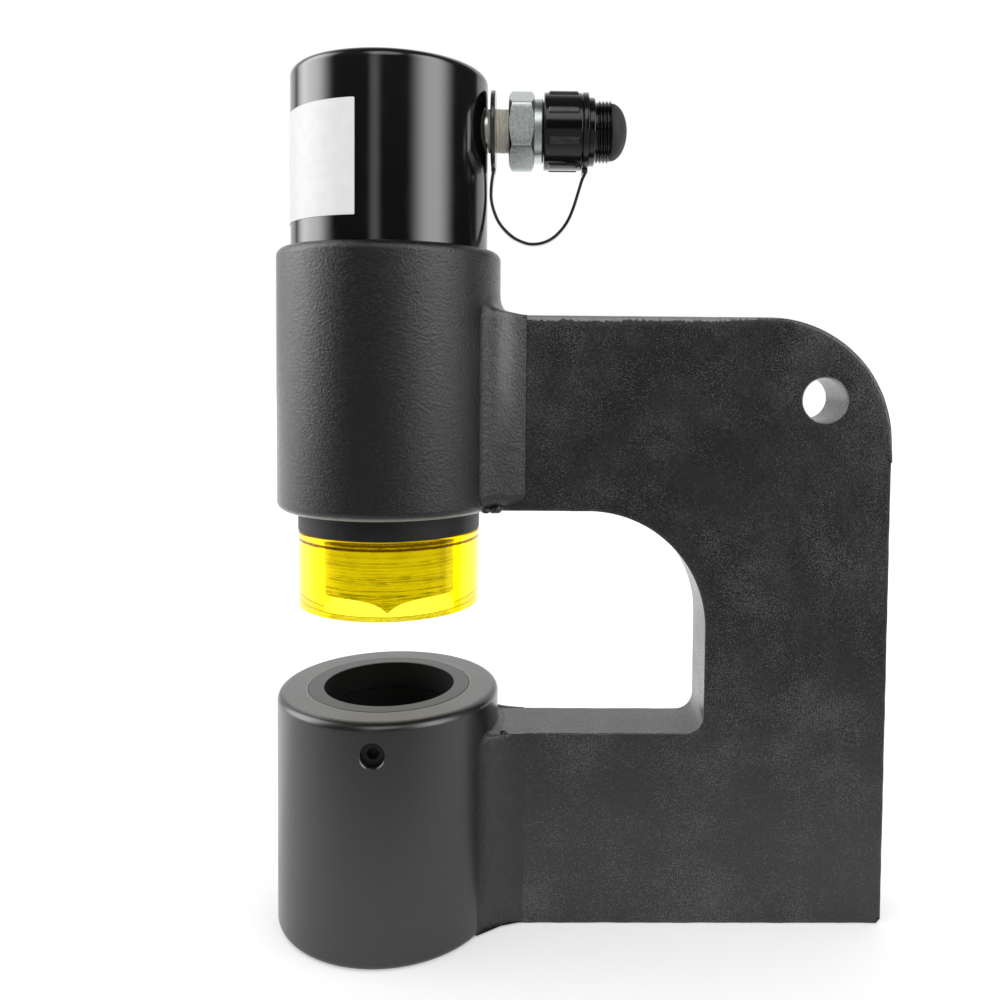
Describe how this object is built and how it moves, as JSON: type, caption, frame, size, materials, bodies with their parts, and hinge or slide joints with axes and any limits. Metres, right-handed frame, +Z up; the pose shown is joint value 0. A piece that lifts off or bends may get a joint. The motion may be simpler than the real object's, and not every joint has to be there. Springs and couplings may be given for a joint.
{
  "type": "hydraulic hole punch",
  "caption": "C-frame hydraulic hole punch: a spring return cylinder drives a round punch with a clear stripper ring into a die in the lower column, fed through a capped hose coupler.",
  "frame": {"origin": "on the punch axis in the plane of the base, at the mouth of the slug passage", "axes": "+Z up along the punch axis, +X from the punch axis towards the back of the C frame, +Y across the plate's thickness, away from the side with the lock screw"},
  "size_m": [0.2792, 0.1014, 0.3865],
  "materials": {
    "frame_paint": "satin black enamel with a fine speckle",
    "housing_paint": "satin black enamel with a fine orange peel",
    "barrel_paint": "semi gloss black enamel",
    "label_film": "plain white film, left blank",
    "black_oxide": "black oxide, turned",
    "machined_steel": "turned and ground steel",
    "bronze": "turned bronze",
    "wiper_rubber": "blue rubber",
    "seal_rubber": "red brown rubber",
    "white_plastic": "ivory sealing film",
    "brown_plastic": "brown phenolic",
    "spring_steel": "oil tempered wire",
    "urethane": "clear yellow urethane",
    "zinc_plate": "bright zinc plate",
    "cap_plastic": "black moulded plastic",
    "bulb_rubber": "matte black rubber"
  },
  "bodies": {
    "frame": {"frame_plate": "frame_paint", "upper_housing": "housing_paint", "die_column": "frame_paint", "upper_weld": "housing_paint", "lower_weld": "frame_paint", "cylinder_barrel": "barrel_paint", "blank_label": "label_film", "gland": "machined_steel", "guide_bush": "bronze", "rod_wiper": "wiper_rubber", "return_spring": "spring_steel", "die": "black_oxide", "coupler_nipple": "zinc_plate", "thread_tape": "white_plastic", "valve_spring": "spring_steel", "valve_guide": "spring_steel", "tether_neck_ring": "cap_plastic", "tether_strap": "cap_plastic"},
    "ram": {"ram": "machined_steel", "piston_seal": "seal_rubber", "backup_ring": "white_plastic", "wear_ring": "brown_plastic", "punch_holder": "black_oxide", "punch": "machined_steel", "punch_screw": "black_oxide", "stripper_ring": "urethane"},
    "pad": {"lock_pad": "bronze"},
    "lock": {"lock_screw": "black_oxide"},
    "valve": {"valve_poppet": "bronze", "valve_seal": "seal_rubber"},
    "cap_carrier": {"tether_cap_ring": "cap_plastic"},
    "cap": {"dust_cap": "cap_plastic", "cap_bulb": "bulb_rubber"}
  },
  "joints": [
    {"name": "ram_slide", "type": "slide", "parent": "frame", "child": "ram", "axis": [0, 0, -1], "range_m": [0, 0.048], "stiffness_N_per_m": 8000, "springref_m": -0.012, "deforming": ["return_spring", "stripper_ring"]},
    {"name": "lock_travel", "type": "slide", "parent": "frame", "child": "pad", "axis": [0, -1, 0], "range_m": [0, 0.003]},
    {"name": "lock_turn", "type": "hinge", "parent": "pad", "child": "lock", "pos_m": [0, -0.044, 0.0922], "axis": [0, -1, 0], "range_deg": [0, 720]},
    {"name": "valve_slide", "type": "slide", "parent": "frame", "child": "valve", "axis": [-1, 0, 0], "range_m": [0, 0.003], "stiffness_N_per_m": 600, "springref_m": -0.002, "deforming": ["valve_spring"]},
    {"name": "cap_travel", "type": "slide", "parent": "frame", "child": "cap_carrier", "axis": [1, 0, 0], "range_m": [0, 0.024]},
    {"name": "cap_turn", "type": "hinge", "parent": "cap_carrier", "child": "cap", "pos_m": [0.08, 0, 0.3625], "axis": [1, 0, 0], "range_deg": [0, 2880]}
  ],
  "couplings": [
    {"joint": "lock_turn", "follows": "lock_travel", "rad_per_m": 4188.8},
    {"joint": "cap_travel", "follows": "cap_turn", "m_per_rad": 0.0004774}
  ]
}
